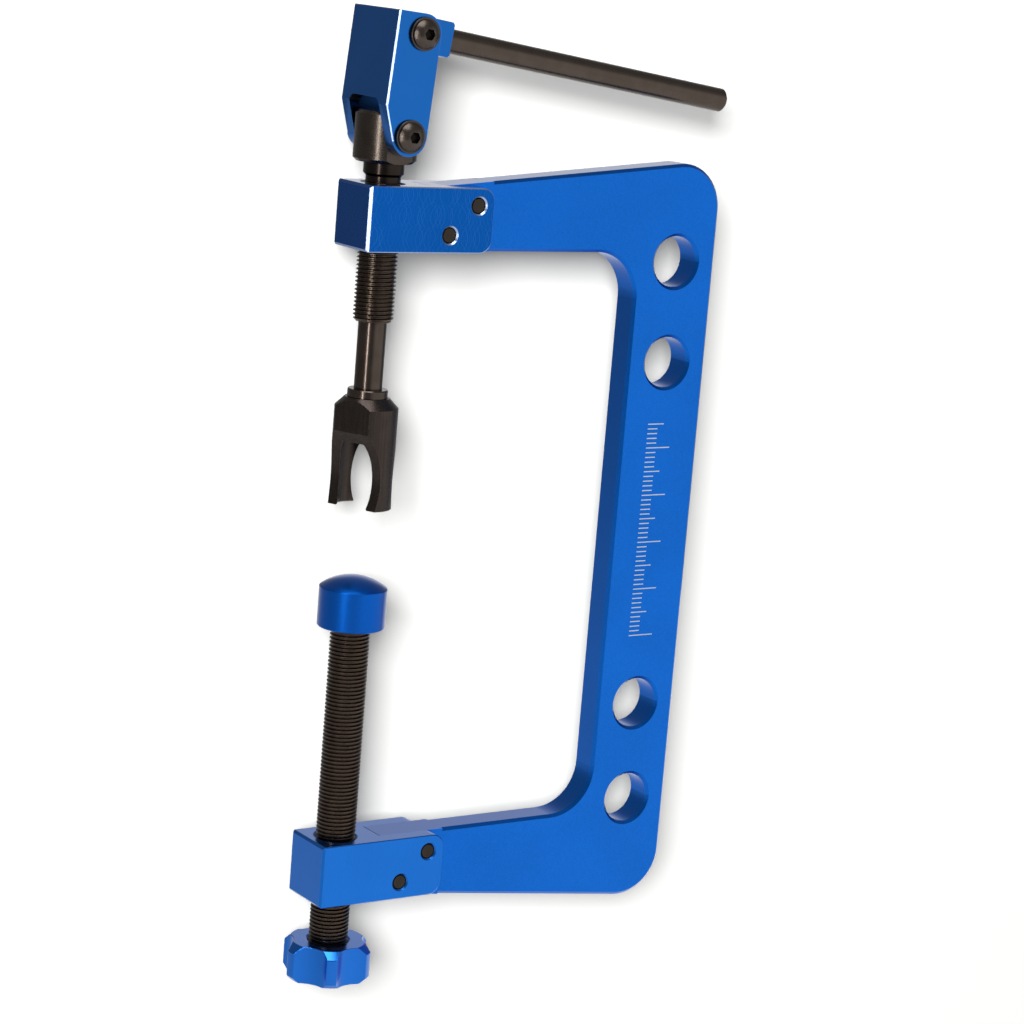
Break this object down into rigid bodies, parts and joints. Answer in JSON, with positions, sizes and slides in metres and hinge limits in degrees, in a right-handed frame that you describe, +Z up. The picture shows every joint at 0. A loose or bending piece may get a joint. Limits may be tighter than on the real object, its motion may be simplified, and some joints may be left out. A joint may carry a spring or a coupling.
{
  "type": "valve spring compressor",
  "caption": "C-frame screw press that compresses an engine valve spring, with a forked tip on a forcing screw, a folding crank handle and a domed anvil set by a knob.",
  "frame": {"origin": "the top of the anvil pad's dome, where a valve head rests, on the common axis of both screws", "axes": "+Z up the screw axis towards the crank, +X from the screw axis towards the spine of the C-frame, +Y across the plate, away from the side in the picture"},
  "size_m": [0.178, 0.0424, 0.3864],
  "materials": {
    "anodised_blue": "satin",
    "black_oxide": "satin",
    "turned_steel": "satin"
  },
  "bodies": {
    "frame": {"c_frame": "anodised_blue", "upper_jaw": "anodised_blue", "lower_jaw": "anodised_blue", "upper_front_dowel": "black_oxide", "upper_rear_dowel": "black_oxide", "lower_front_dowel": "black_oxide", "lower_rear_dowel": "black_oxide"},
    "screw_thrust": {"thrust_washer": "turned_steel"},
    "screw": {"forcing_screw": "black_oxide", "screw_head": "turned_steel", "yoke_pin": "black_oxide", "yoke_screw_front": "black_oxide", "yoke_screw_rear": "black_oxide", "yoke_washer_front": "black_oxide", "yoke_washer_rear": "black_oxide"},
    "tip": {"fork_tip": "black_oxide", "tip_ring": "black_oxide"},
    "yoke": {"yoke": "anodised_blue"},
    "handle": {"handle_block": "anodised_blue", "handle_rod": "black_oxide", "handle_pin": "black_oxide", "handle_screw_front": "black_oxide", "handle_screw_rear": "black_oxide", "handle_washer_front": "black_oxide", "handle_washer_rear": "black_oxide"},
    "anvil": {"anvil_pad": "anodised_blue", "pad_ring": "black_oxide"},
    "anvil_drive": {"anvil_screw": "black_oxide", "knob": "anodised_blue"}
  },
  "joints": [
    {"name": "screw_travel", "type": "slide", "parent": "frame", "child": "screw_thrust", "axis": [0, 0, 1], "range_m": [-0.00635, 0.02699]},
    {"name": "screw_turn", "type": "hinge", "parent": "screw_thrust", "child": "screw", "pos_m": [0, 0, 0.1624], "axis": [0, 0, 1], "range_deg": [-1441, 6121]},
    {"name": "tip_swivel", "type": "hinge", "parent": "screw_thrust", "child": "tip", "pos_m": [0, 0, 0.05], "axis": [0, 0, 1], "continuous": true},
    {"name": "yoke_fold", "type": "hinge", "parent": "screw", "child": "yoke", "pos_m": [0, 0, 0.1736], "axis": [0, 1, 0], "range_deg": [-94.7, 3.3]},
    {"name": "handle_fold", "type": "hinge", "parent": "yoke", "child": "handle", "pos_m": [0.00317, 0, 0.21217], "axis": [0, -1, 0], "range_deg": [-5, 92.9]},
    {"name": "anvil_travel", "type": "slide", "parent": "frame", "child": "anvil", "axis": [0, 0, 1], "range_m": [-0.08572, 0.01746]},
    {"name": "knob_turn", "type": "hinge", "parent": "anvil", "child": "anvil_drive", "pos_m": [0, 0, -0.1504], "axis": [0, 0, 1], "range_deg": [-19442, 3962]}
  ],
  "couplings": [
    {"joint": "screw_turn", "follows": "screw_travel", "rad_per_m": 3957.9},
    {"joint": "knob_turn", "follows": "anvil_travel", "rad_per_m": 3957.9}
  ]
}
